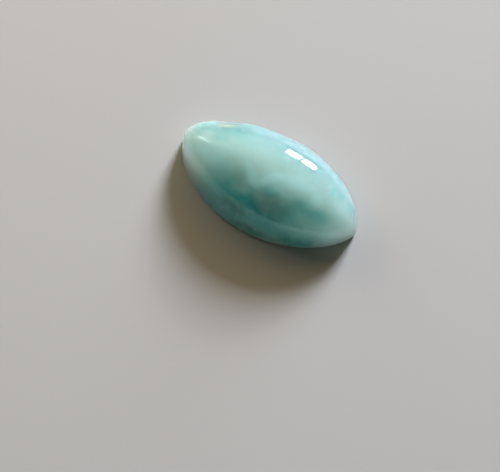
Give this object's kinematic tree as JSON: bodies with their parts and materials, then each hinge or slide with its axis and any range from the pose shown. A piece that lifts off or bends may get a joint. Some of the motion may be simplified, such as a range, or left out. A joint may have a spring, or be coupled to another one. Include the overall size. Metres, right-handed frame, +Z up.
{
  "type": "larimar cabochon",
  "caption": "Polished larimar cabochon with a blunt marquise outline, flat ground base, leaning girdle band and ridged dome, to be set in jewellery.",
  "frame": {"origin": "centre of the flat base, on the surface the stone lies on", "axes": "+X along the stone towards one tip, +Y across it, +Z up through the top of the dome"},
  "size_m": [0.025, 0.0144, 0.006],
  "materials": {
    "polished_larimar": "polished"
  },
  "bodies": {
    "root": {"larimar_cabochon": "polished_larimar"}
  },
  "joints": []
}
